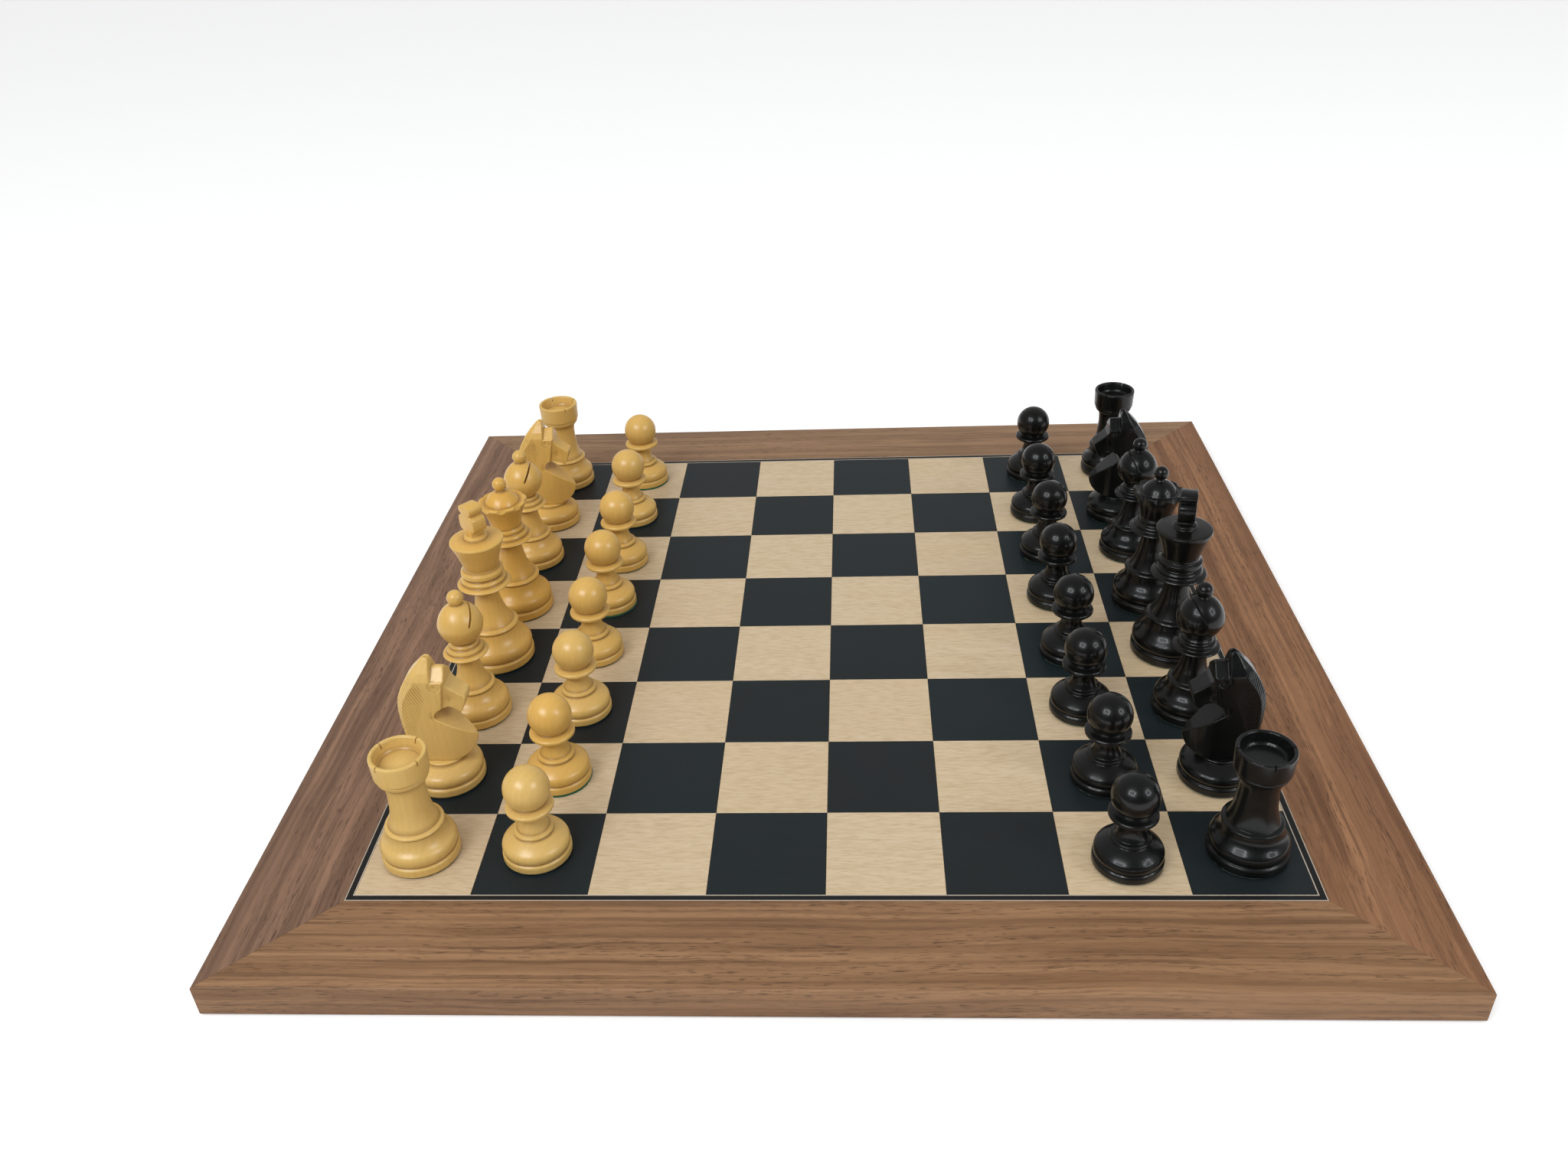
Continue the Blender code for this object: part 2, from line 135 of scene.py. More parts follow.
# Depth of each boxwood piece's colour, from 0 (pale straw) to 1 (amber).
TONE = {
    "white_rook_h": 0.02, "white_knight_g": 0.00, "white_bishop_f": 0.28,
    "white_king": 0.36, "white_queen": 0.58, "white_bishop_c": 0.34,
    "white_knight_b": 0.36, "white_rook_a": 0.14, "white_pawn_h": 0.00,
    "white_pawn_g": 0.44, "white_pawn_f": 0.14, "white_pawn_e": 0.30,
    "white_pawn_d": 0.33, "white_pawn_c": 0.35, "white_pawn_b": 0.20,
    "white_pawn_a": 0.27,
}
# How far from the axis the queens' scallops are centred: the black one's go deeper.
SCALLOPS_FROM_AXIS = {"white_queen": 16.1, "black_queen": 15.4}
# Pieces whose baize stands out past the foot.
FELT_SHOWS = ("white_pawn_a", "white_pawn_d", "white_pawn_g")


# ---------------------------------------------------------------- node graphs
def fill_inputs(tree, target, inputs):
    """Links each input to a socket, or gives it a value."""
    for key, value in inputs.items():
        if isinstance(value, bpy.types.NodeSocket):
            tree.links.new(value, target.inputs[key])
        else:
            target.inputs[key].default_value = value


def node(tree, kind, inputs=None, **props):
    """A shader node with its properties set and its inputs linked or given a value."""
    made = tree.nodes.new("ShaderNode" + kind)
    for key, value in props.items():
        setattr(made, key, value)
    fill_inputs(tree, made, inputs or {})
    return made


def maths(tree, operation, a, b=0.0):
    return node(tree, "Math", {0: a, 1: b}, operation=operation).outputs[0]


def scaled(tree, value, factor, base):
    """The value times a factor, plus a base."""
    inputs = {0: value, 1: factor, 2: base}
    return node(tree, "Math", inputs, operation="MULTIPLY_ADD").outputs[0]


def blend(tree, share, a, b):
    """Mixes two colours by share."""
    inputs = {0: share}
    for key, colour in ((6, a), (7, b)):
        inputs[key] = (*colour, 1.0) if isinstance(colour, tuple) else colour
    return node(tree, "Mix", inputs, data_type="RGBA", clamp_factor=True).outputs[2]


def ramp(tree, value, *stops):
    """Colour ramp from (position, grey) stops."""
    made = node(tree, "ValToRGB", {0: value})
    line = made.color_ramp
    while len(line.elements) < len(stops):
        line.elements.new(0.5)
    for element, (position, grey) in zip(line.elements, stops):
        element.position = position
        element.color = (grey, grey, grey, 1)
    return made.outputs[0]


def layered(tree, colour, *stains):
    """Lays stains over a colour, each given as its value, the ramp's stops and its colour."""
    for value, stops, stain in stains:
        colour = blend(tree, ramp(tree, value, *stops), colour, stain)
    return colour


def stretched(tree, place, scale, shift=(0, 0, 0)):
    """Coordinates scaled along each axis: a small scale draws the pattern out."""
    made = node(tree, "Mapping", {"Vector": place, "Scale": scale, "Location": shift})
    return made.outputs[0]


def noise(tree, place, scale, detail=3.0, rough=0.5, distort=0.0):
    inputs = {
        "Vector": place, "Scale": scale, "Detail": detail,
        "Roughness": rough, "Distortion": distort,
    }
    return node(tree, "TexNoise", inputs).outputs[0]


def attribute(tree, name):
    return node(tree, "Attribute", attribute_name=name).outputs["Fac"]


def new_material(name):
    made = bpy.data.materials.new(name)
    made.use_nodes = True
    tree = made.node_tree
    return made, tree, tree.nodes["Principled BSDF"]


def finish_material(tree, shader, colour, rough, height, bump, gloss=None):
    """Joins colour, roughness and a bump of (strength, distance) to the shader."""
    strength, distance = bump
    inputs = {"Strength": strength, "Distance": distance, "Height": height}
    normal = node(tree, "Bump", inputs).outputs[0]
    fill_inputs(tree, shader, {"Base Color": colour, "Roughness": rough, "Normal": normal})
    fill_inputs(tree, shader, gloss or {})


def object_place(tree):
    return node(tree, "TexCoord").outputs["Object"]


def seeded_place(tree, spread=0.07):
    """Object coordinates, moved by each piece's own seed so that no two look alike."""
    seed = attribute(tree, "seed")
    steps = [maths(tree, "MULTIPLY", seed, spread * k) for k in (17.0, -11.0, 7.0)]
    shift = node(tree, "CombineXYZ", dict(enumerate(steps))).outputs[0]
    inputs = {0: object_place(tree), 1: shift}
    return node(tree, "VectorMath", inputs, operation="ADD").outputs[0], seed


def swayed(tree, place, sway, reach, axes):
    """Coordinates pushed along some axes by a noise that runs from 0 to 1."""
    push = maths(tree, "MULTIPLY", maths(tree, "SUBTRACT", sway, 0.5), reach)
    offset = node(tree, "CombineXYZ", {axis: push for axis in axes}).outputs[0]
    return node(tree, "VectorMath", {0: place, 1: offset}, operation="ADD").outputs[0]


def boxwood():
    """Pale lacquered boxwood: faint rings and flecks, painted shade in the grooves, edges lighter.
    """
    made, tree, shader = new_material("boxwood_lacquered")
    place, _ = seeded_place(tree)
    crease = attribute(tree, "crease")
    rings = node(
        tree, "TexWave",
        {
            "Vector": stretched(tree, place, (1, 1, 0.12), (0.021, 0.013, 0)),
            "Scale": 120.0, "Distortion": 2.6, "Detail": 3.0, "Detail Scale": 0.25,
            "Detail Roughness": 0.6,
        },
        wave_type="RINGS", rings_direction="Z",
    ).outputs["Fac"]
    fibres = noise(tree, stretched(tree, place, (1, 1, 0.06)), 1300.0, 4.0, 0.6)
    cloud = noise(tree, place, 48.0, 3.0, 0.55, 0.4)
    warm = noise(tree, stretched(tree, place, (1, 1, 0.5)), 22.0, 2.0, 0.5)
    patches = ramp(tree, warm, (0.35, 0), (0.7, 0.6))
    straw = blend(tree, patches, (0.690, 0.455, 0.152), (0.650, 0.412, 0.122))
    amber = blend(tree, patches, (0.700, 0.350, 0.032), (0.640, 0.305, 0.024))
    colour = layered(
        tree, blend(tree, attribute(tree, "tone"), straw, amber),
        (rings, ((0.2, 0.0), (0.9, 0.07)), (0.430, 0.240, 0.045)),
        (fibres, ((0.42, 0.0), (0.72, 0.10)), (0.400, 0.210, 0.040)),
        (cloud, ((0.3, 0.0), (0.75, 0.16)), (0.660, 0.450, 0.130)),
    )
    # Few and small dark knots.
    speck = node(tree, "TexVoronoi", {"Vector": place, "Scale": 95.0, "Randomness": 1.0})
    rare = maths(tree, "GREATER_THAN", speck.outputs["Color"], 0.82)
    near = ramp(tree, speck.outputs["Distance"], (0.018, 1.0), (0.05, 0.0))
    knot = maths(tree, "MULTIPLY", maths(tree, "MULTIPLY", near, rare), 0.75)
    colour = layered(
        tree, blend(tree, knot, colour, (0.20, 0.085, 0.025)),
        # Darker in the grooves: painted shade, partly the lacquer that gathers there. Lighter on
        # the edges.
        (crease, ((0.56, 0.0), (0.95, 0.75)), (0.290, 0.145, 0.030)),
        (crease, ((0.12, 0.30), (0.42, 0.0)), (0.660, 0.440, 0.120)),
    )
    rough = scaled(tree, cloud, 0.16, 0.25)
    height = maths(tree, "ADD", fibres, maths(tree, "MULTIPLY", cloud, 2.0))
    gloss = {"Coat Weight": 0.12, "Coat Roughness": 0.30, "Specular IOR Level": 0.22}
    finish_material(tree, shader, colour, rough, height, (0.22, 0.00006), gloss)
    return made


def ebonised():
    """Black-stained lacquered wood: open grain breaks the shine, a painted highlight greys the
    edges.
    """
    made, tree, shader = new_material("ebonised_lacquered")
    place, seed = seeded_place(tree)
    crease = attribute(tree, "crease")
    fibres = noise(tree, stretched(tree, place, (1, 1, 0.05)), 1500.0, 5.0, 0.62)
    cloud = noise(tree, place, 60.0, 3.0, 0.55, 0.3)
    colour = layered(
        tree, blend(tree, seed, (0.0028, 0.0034, 0.0033), (0.0036, 0.0034, 0.0028)),
        (fibres, ((0.45, 0.0), (0.8, 0.5)), (0.0065, 0.0058, 0.0046)),
        (cloud, ((0.35, 0.0), (0.8, 0.4)), (0.0042, 0.0052, 0.0054)),
        # Painted highlight: the edges turn a lighter grey.
        (crease, ((0.04, 0.35), (0.28, 0.0)), (0.008, 0.0078, 0.0072)),
    )
    rough = scaled(tree, fibres, 0.20, 0.27)
    height = maths(tree, "ADD", fibres, maths(tree, "MULTIPLY", cloud, 2.0))
    gloss = {"Coat Weight": 0.55, "Coat Roughness": 0.17, "Specular IOR Level": 0.08}
    finish_material(tree, shader, colour, rough, height, (0.30, 0.00007), gloss)
    return made


def felt():
    """Green baize: fuzzy, with lighter patches."""
    made, tree, shader = new_material("green_baize")
    place = object_place(tree)
    fuzz = noise(tree, place, 2600.0, 4.0, 0.7)
    patch = noise(tree, place, 160.0, 2.0)
    colour = layered(
        tree, blend(tree, fuzz, (0.006, 0.048, 0.018), (0.018, 0.125, 0.045)),
        (patch, ((0.3, 0.0), (0.8, 0.5)), (0.025, 0.15, 0.055)),
    )
    rough = ramp(tree, fuzz, (0.0, 0.9), (1.0, 1.0))
    gloss = {"Sheen Weight": 0.4, "Specular IOR Level": 0.15}
    finish_material(tree, shader, colour, rough, fuzz, (0.7, 0.0002), gloss)
    return made


def walnut(name, turn, tones, shift):
    """Straight-grained walnut veneer, its grain along the rail."""
    made, tree, shader = new_material(name)
    turned = node(
        tree, "VectorRotate", {"Vector": object_place(tree), "Angle": math.radians(turn)},
        rotation_type="Z_AXIS",
    ).outputs[0]
    along = stretched(tree, turned, (1, 1, 1), shift)
    sway = noise(tree, stretched(tree, along, (1, 2.5, 2.5)), 7.0, 2.0, 0.5)
    wavy = swayed(tree, along, sway, 0.010, (1, 2))
    bands = noise(tree, stretched(tree, wavy, (0.012, 1, 1)), 150.0, 3.0, 0.50)
    lines = noise(tree, stretched(tree, wavy, (0.007, 1, 1)), 480.0, 3.0, 0.6)
    fibres = noise(tree, stretched(tree, wavy, (0.030, 1, 1)), 2300.0, 3.0, 0.6)
    pores = noise(tree, stretched(tree, wavy, (0.090, 1, 1)), 1500.0, 2.0, 0.5)
    where = noise(tree, stretched(tree, wavy, (0.05, 1, 1)), 120.0, 2.0, 0.5)
    cloud = noise(tree, stretched(tree, along, (0.4, 1, 1)), 24.0, 2.0, 0.5)
    light, mid, dark = tones
    colour = layered(
        tree, light,
        (bands, ((0.36, 0.0), (0.60, 1.0)), mid),
        (lines, ((0.44, 0.0), (0.64, 0.78)), dark),
        (fibres, ((0.42, 0.0), (0.74, 0.35)), dark),
        (cloud, ((0.30, 0.0), (0.75, 0.35)), light),
    )
    # Open pores: short dark dashes that gather in some places.
    dash = ramp(tree, pores, (0.57, 0.0), (0.66, 1.0))
    dash = maths(tree, "MULTIPLY", dash, ramp(tree, where, (0.40, 0.25), (0.60, 1.0)))
    pore = tuple(0.42 * value for value in dark)
    colour = blend(tree, maths(tree, "MULTIPLY", dash, 0.65), colour, pore)
    rough = scaled(tree, fibres, 0.20, 0.42)
    height = maths(tree, "SUBTRACT", fibres, maths(tree, "MULTIPLY", dash, 1.5))
    gloss = {"Specular IOR Level": 0.22}
    finish_material(tree, shader, colour, rough, height, (0.35, 0.00008), gloss)
    return made


def maple():
    """Pale maple veneer with its fine flecked ripple, each square its own cut."""
    made, tree, shader = new_material("maple_veneer")
    place, seed = seeded_place(tree, 0.9)
    wavy = swayed(tree, place, noise(tree, place, 26.0, 2.0, 0.5), 0.006, (1,))
    fleck = noise(tree, stretched(tree, wavy, (0.16, 1, 1)), 950.0, 3.0, 0.55)
    lines = noise(tree, stretched(tree, wavy, (0.03, 1, 1)), 260.0, 3.0, 0.5)
    cloud = noise(tree, stretched(tree, place, (0.6, 1, 1)), 34.0, 2.0, 0.5)
    colour = layered(
        tree, blend(tree, seed, (0.600, 0.475, 0.310), (0.570, 0.435, 0.268)),
        (cloud, ((0.35, 0.0), (0.72, 0.55)), (0.592, 0.460, 0.322)),
        (lines, ((0.42, 0.0), (0.75, 0.45)), (0.510, 0.380, 0.222)),
        (fleck, ((0.46, 0.0), (0.68, 0.60)), (0.440, 0.315, 0.178)),
        (fleck, ((0.25, 0.5), (0.42, 0.0)), (0.650, 0.550, 0.390)),
    )
    rough = scaled(tree, fleck, 0.16, 0.34)
    gloss = {"Specular IOR Level": 0.4}
    finish_material(tree, shader, colour, rough, fleck, (0.15, 0.00005), gloss)
    return made


def dyed_black(name, base):
    """Black-dyed veneer: satin, with faint blue-green and brown clouds."""
    made, tree, shader = new_material(name)
    place, seed = seeded_place(tree, 0.9)
    fibres = noise(tree, stretched(tree, place, (0.05, 1, 1)), 1500.0, 3.0, 0.6)
    cloud = noise(tree, place, 45.0, 2.0, 0.5, 0.3)
    teal = tuple(value * tint for value, tint in zip(base, (0.80, 1.12, 1.22)))
    brown = tuple(value * tint for value, tint in zip(base, (1.5, 1.3, 1.15)))
    colour = layered(
        tree, blend(tree, seed, base, teal),
        (cloud, ((0.4, 0.0), (0.7, 0.7)), teal),
        (fibres, ((0.5, 0.0), (0.8, 0.6)), brown),
    )
    rough = scaled(tree, fibres, 0.16, 0.36)
    gloss = {"Specular IOR Level": 0.22}
    finish_material(tree, shader, colour, rough, fibres, (0.18, 0.00005), gloss)
    return made


def plain_grain(name, scale, detail, dark, light, rough_from, rough_to, bump):
    """Even, fine-grained wood between two colours and two values of roughness."""
    made, tree, shader = new_material(name)
    grain = noise(tree, object_place(tree), scale, *detail)
    colour = blend(tree, grain, dark, light)
    rough = ramp(tree, grain, (0.0, rough_from), (1.0, rough_to))
    finish_material(tree, shader, colour, rough, grain, bump)
    return made


def stringing():
    """Maple of the thin light lines and of the backing veneer."""
    return plain_grain(
        "maple_stringing", 900.0, (3.0, 0.6),
        (0.40, 0.34, 0.27), (0.52, 0.45, 0.37), 0.36, 0.50, (0.15, 0.00005),
    )


def fibreboard():
    """Raw fibreboard of the core."""
    return plain_grain(
        "fibreboard_core", 1400.0, (4.0, 0.7),
        (0.30, 0.20, 0.11), (0.46, 0.34, 0.21), 0.80, 0.95, (0.5, 0.0002),
    )


# ---------------------------------------------------------------- mesh helpers
def new_object(name, points, faces, material, smooth=True):
    """Mesh object from millimetre points, faces turned outwards."""
    mesh = bpy.data.meshes.new(name)
    mesh.from_pydata((np.asarray(points, float) * MM).tolist(), [], faces)
    mesh.materials.append(material)
    if smooth:
        mesh.shade_smooth()
    obj = bpy.data.objects.new(name, mesh)
    bpy.context.scene.collection.objects.link(obj)
    return obj


def mark(obj, name, values):
    """Stores one number for each point of the mesh."""
    layer = obj.data.attributes.new(name, "FLOAT", "POINT")
    count = len(obj.data.vertices)
    layer.data.foreach_set("value", np.broadcast_to(values, count).astype(np.float32))


def finished(obj, sharp_above):
    """Makes the piece's modifiers permanent, and shades it smooth up to an angle in degrees."""
    graph = bpy.context.evaluated_depsgraph_get()
    made = bpy.data.meshes.new_from_object(obj.evaluated_get(graph))
    obj.modifiers.clear()
    obj.data = made
    made.shade_smooth()
    made.set_sharp_from_angle(angle=math.radians(sharp_above))


def arcs_cut(profile, step=math.radians(5)):
    """The profile's corners with its arcs cut into short chords."""
    points = []
    for (x0, y0, bulge), (x1, y1, _) in zip(profile, profile[1:]):
        points.append((x0, y0))
        if not bulge:
            continue
        sweep = 4 * math.atan(bulge)
        parts = max(3, math.ceil(abs(sweep) / step))
        offset = 0.5 / math.tan(sweep / 2)
        cx = (x0 + x1) / 2 - (y1 - y0) * offset
        cy = (y0 + y1) / 2 + (x1 - x0) * offset
        start = math.atan2(y0 - cy, x0 - cx)
        radius = math.hypot(x0 - cx, y0 - cy)
        for part in range(1, parts):
            angle = start + sweep * part / parts
            points.append((cx + radius * math.cos(angle), cy + radius * math.sin(angle)))
    points.append(profile[-1][:2])
    return np.array(points, float)


def blurred(line, sigma, pitch):
    """Smooths a line whose two ends lie on the axis, mirrored across it."""
    reach = int(4 * sigma / pitch) + 1
    flip = np.array([-1.0, 1.0])
    padded = np.vstack([line[1 : reach + 1][::-1] * flip, line, line[-reach - 1 : -1][::-1] * flip])
    offsets = np.arange(-reach, reach + 1) * pitch
    weight = np.exp(-0.5 * (offsets / sigma) ** 2)
    weight /= weight.sum()
    columns = [np.convolve(padded[:, k], weight, "valid") for k in (0, 1)]
    return np.stack(columns, 1)


def thinned(line, tolerance):
    """Indexes of the points that keep the line within tolerance (Douglas-Peucker)."""
    keep = {0, len(line) - 1}
    spans = [(0, len(line) - 1)]
    while spans:
        first, last = spans.pop()
        if last - first < 2:
            continue
        chord = line[last] - line[first]
        length = np.hypot(*chord)
        gap = line[first + 1 : last] - line[first]
        if length < 1e-9:
            away = np.hypot(gap[:, 0], gap[:, 1])
        else:
            away = np.abs(gap[:, 0] * chord[1] - gap[:, 1] * chord[0]) / length
        worst = int(np.argmax(away))
        if away[worst] > tolerance:
            middle = first + 1 + worst
            keep.add(middle)
            spans += [(first, middle), (middle, last)]
    return sorted(keep)


def softened(profile, soft=0.16, pitch=0.05):
    """Profile with its corners eased as by sanding, and how deep each point lies in a groove."""
    corners = arcs_cut(profile)
    steps = np.hypot(*np.diff(corners, axis=0).T)
    along = np.concatenate([[0], np.cumsum(steps)])
    even = np.linspace(0, along[-1], int(along[-1] / pitch) + 1)
    line = np.stack([np.interp(even, along, corners[:, k]) for k in (0, 1)], 1)
    line = blurred(line, soft, pitch)
    line[0, 0] = line[-1, 0] = 0
    # Against a wider blur, a groove lies inwards and an edge outwards.
    wide = blurred(line, 0.7, pitch)
    slope = np.gradient(line, axis=0)
    normal = np.stack([slope[:, 1], -slope[:, 0]], 1)
    normal /= np.maximum(np.hypot(*normal.T), 1e-9)[:, None]
    hollow = ((wide - line) * normal).sum(1)
    keep = thinned(line, 0.006)
    return line[keep], np.clip(0.5 + hollow[keep] / 0.36, 0, 1)


def round_faces(rings, sides):
    """Faces of a round solid: its bottom and top points come first, then its rings, upwards."""
    last = 2 + (rings - 1) * sides
    faces = []
    for side in range(sides):
        after = (side + 1) % sides
        faces.append((0, 2 + after, 2 + side))
        faces.append((1, last + side, last + after))
        for ring in range(rings - 1):
            low = 2 + ring * sides
            faces.append((low + side, low + after, low + sides + after, low + sides + side))
    return faces


def lathe(name, profile, material, seed):
    """Turned piece standing on the origin."""
    line, crease = softened(profile)
    rings = line[1:-1]
    angle = np.arange(SIDES) * math.tau / SIDES
    spin = np.stack([np.cos(angle), np.sin(angle)], 1)
    body = np.zeros((len(rings), SIDES, 3))
    body[:, :, :2] = rings[:, 0, None, None] * spin
    body[:, :, 2] = rings[:, 1, None]
    points = [(0, 0, line[0, 1]), (0, 0, line[-1, 1]), *body.reshape(-1, 3)]
    obj = new_object(name, points, round_faces(len(rings), SIDES), material)
    marks = np.concatenate([[crease[0], crease[-1]], np.repeat(crease[1:-1], SIDES)])
    mark(obj, "crease", marks)
    mark(obj, "seed", seed)
    return obj


def cut(obj, tool):
    """Cuts the tool out of the piece for good, and throws the tool away."""
    step = obj.modifiers.new("cut", "BOOLEAN")
    step.operation = "DIFFERENCE"
    step.solver = "EXACT"
    step.object = tool
    finished(obj, 32)
    bpy.data.objects.remove(tool)


def bridged(name, near, far, material, smooth=False):
    """Closed solid between two matching rings of points."""
    count = len(near)
    faces = [(i, (i + 1) % count, (i + 1) % count + count, i + count) for i in range(count)]
    faces += [tuple(range(count))[::-1], tuple(range(count, 2 * count))]
    obj = new_object(name, near + far, faces, material, smooth)
    shape = bmesh.new()
    shape.from_mesh(obj.data)
    bmesh.ops.recalc_face_normals(shape, faces=shape.faces)
    shape.to_mesh(obj.data)
    shape.free()
    return obj


def prism(name, outline, low, high, material, axis="y"):
    """Outline given a thickness: across (y) for an outline in x-z, up (z) for one in x-y."""
    if axis == "y":
        near = [(x, low, z) for x, z in outline]
        far = [(x, high, z) for x, z in outline]
    else:
        near = [(x, y, low) for x, y in outline]
        far = [(x, y, high) for x, y in outline]
    return bridged(name, near, far, material)


# ---------------------------------------------------------------- knight's head
GRID = 0.34
HEAD_LOW = np.array((-17.0, -9.0, 13.0))
HEAD_HIGH = np.array((23.0, 9.0, 76.0))
EDGE_EASE = 0.30
MANE_PITCH = 1.25
MANE_DEPTH = 0.32
EYE = (4.2, 56.7)
# Side view of the head: distance forward of the axis, height.
HEAD = (
    (-9.8, 14.75), (4.0, 14.75), (8.2, 15.1), (11.6, 16.3), (14.0, 17.8), (15.8, 19.6),
    (17.0, 22.0), (17.7, 25.0), (16.6, 26.9), (13.8, 29.6), (10.2, 32.7), (6.4, 35.7),
    (3.6, 37.7), (2.0, 38.7), (1.5, 39.7), (2.1, 41.6), (3.8, 43.5), (6.0, 44.5),
    (8.6, 44.6), (10.6, 43.8), (12.0, 42.4), (13.1, 41.3), (14.2, 41.8), (15.4, 44.2),
    (16.5, 47.2), (16.9, 49.0), (16.3, 50.1), (14.4, 51.4), (12.2, 53.2), (10.0, 55.2),
    (8.8, 57.2), (8.8, 60.6), (8.5, 63.4), (7.9, 64.1), (5.2, 64.2), (2.7, 63.9),
    (2.7, 66.2), (2.4, 68.4), (1.6, 69.3), (0.2, 69.3), (-1.8, 67.7), (-4.3, 65.0),
    (-6.9, 62.2), (-9.4, 58.9), (-12.0, 54.6), (-13.9, 50.4), (-14.8, 46.5),
    (-15.1, 42.4), (-14.9, 36.5), (-14.3, 31.0), (-13.2, 25.0), (-11.9, 19.4), (-10.8, 15.6),
)


def smooth_min(a, b, k):
    """The lesser of two fields, blended where they come within k of each other."""
    share = np.clip(0.5 + 0.5 * (b - a) / k, 0, 1)
    return b * (1 - share) + a * share - k * share * (1 - share)


def smooth_max(a, b, k):
    return -smooth_min(-a, -b, k)


def outline_distance(x, z, outline):
    """Signed distance to a closed outline, negative inside."""
    best = np.full(x.shape, 1e9)
    inside = np.zeros(x.shape, bool)
    for (x0, z0), (x1, z1) in zip(outline, (*outline[1:], outline[0])):
        dx, dz = x1 - x0, z1 - z0
        share = np.clip(((x - x0) * dx + (z - z0) * dz) / (dx * dx + dz * dz), 0, 1)
        best = np.minimum(best, (x - x0 - share * dx) ** 2 + (z - z0 - share * dz) ** 2)
        crosses = (z0 > z) != (z1 > z)
        with np.errstate(divide="ignore", invalid="ignore"):
            at = x0 + (z - z0) * dx / (dz if dz else 1e-9)
        inside ^= crosses & (x < at)
    best = np.sqrt(best)
    return np.where(inside, -best, best)


def interpolated(value, *stops):
    """Straight lines between (value, result) stops, level beyond them."""
    xs, ys = zip(*stops)
    return np.interp(value, xs, ys)


def eased(value, low, high):
    """Smooth step from 0 at low to 1 at high."""
    share = np.clip((value - low) / (high - low), 0, 1)
    return share * share * (3 - 2 * share)


def half_thickness(x, z, outline):
    """Half of the carved head's thickness at each point of its side view."""
    half = interpolated(z, (14.7, 6.9), (25, 7.15), (45, 7.1), (57, 6.95), (59.5, 6.8),
                        (63, 5.3), (67, 2.9), (69.4, 1.7))
    # Forelock: a roof over a small ledge above the eye.
    roof = interpolated(z, (58.7, 6.8), (59.2, 5.9), (64.2, 0.9))
    share = interpolated(x, (2.6, 0.0), (2.9, 1.0)) * (z > 55)
    half = half + (np.minimum(roof, half) - half) * share
    # Muzzle, scooped in from the cheek's edge.
    cheek = x - 5.6 - 0.188 * (z - 45.2)
    muzzle = 6.05 - 0.9 * eased(cheek, 0.0, 3.6) - 0.5 * eased(cheek, 3.0, 9.0)
    muzzle = muzzle - 0.55 * np.exp(-(((x - 9.4) / 3.0) ** 2) - ((z - 48.4) / 2.8) ** 2)
    share = eased(cheek, -0.25, 0.55) * (z > 39.5)
    half = half + (np.minimum(muzzle, half) - half) * share
    # Chest: a prow that narrows forward.
    chest = interpolated(x, (3, 7.15), (6, 6.9), (9, 6.1), (12, 4.8), (15, 2.9), (18, 0.5))
    half = np.where(z < 40.4, np.minimum(half, chest), half)
    # Bevelled crest along the mane.
    crest = interpolated(z, (18, 0.4), (32, 1.4), (48, 2.3), (58, 3.0), (64, 1.6), (69, 0.3))
    back = interpolated(x, (-1.5, 1.0), (1.5, 0.0))
    depth = np.clip(-outline, 0, None)
    return half - np.clip(crest - depth * 0.85, 0, None) * back


def carved(x, y, z):
    """Distance-like field of the head and all that is carved into it; negative inside."""
    side = np.abs(y)
    outline = outline_distance(x, z, HEAD)
    half = half_thickness(x, z, outline)
    flat = side - half
    corner = np.hypot(np.maximum(outline + EDGE_EASE, 0), np.maximum(flat + EDGE_EASE, 0))
    solid = np.minimum(np.maximum(outline, flat) + EDGE_EASE, 0) + corner - EDGE_EASE
    # Cleft between the ears, widening upwards.
    width = interpolated(z, (66, 0.2), (69, 0.75))
    cleft = np.maximum(side - width, np.maximum(66.3 + 0.2 * x - z, x - 3.6))
    solid = smooth_max(solid, -cleft, 0.25)
    # Mane: fine grooves that hang from the crest on both sides.
    across = -(x + 14) * 0.917 - (z - 40) * 0.40
    wave = np.abs(((across / MANE_PITCH) % 1.0) - 0.5) * 2
    groove = np.clip(1 - wave * 1.7, 0, 1) * MANE_DEPTH
    end = interpolated(z, (22, -12.0), (30, -7.6), (40, -4.4), (49, -0.6), (57, -1.4), (63, -4.5))
    fade = np.clip((end - x) / 1.5, 0, 1) * np.clip((z - 21) / 6, 0, 1)
    fade = fade * np.clip((60.5 - z - 0.25 * x) / 1.5, 0, 1)
    skin = np.clip((flat + 1.3) / 1.0, 0, 1)
    solid = solid + groove * fade * skin
    # Eye: two engraved rings round a dot.
    ring = np.hypot(x - EYE[0], z - EYE[1])
    outer = np.exp(-0.5 * ((ring - 2.35) / 0.26) ** 2) * 0.26
    inner = np.exp(-0.5 * ((ring - 1.15) / 0.24) ** 2) * 0.24
    pupil = np.exp(-0.5 * (ring / 0.38) ** 2) * 0.55
    return solid + (outer + inner + pupil) * skin


def head_field():
    """The head's field on a grid of points."""
    counts = np.ceil((HEAD_HIGH - HEAD_LOW) / GRID).astype(int) + 1
    axes = [HEAD_LOW[k] + GRID * np.arange(counts[k]) for k in range(3)]
    x, z = np.meshgrid(axes[0], axes[2], indexing="ij")
    return carved(x[:, None, :], axes[1][None, :, None], z[:, None, :])


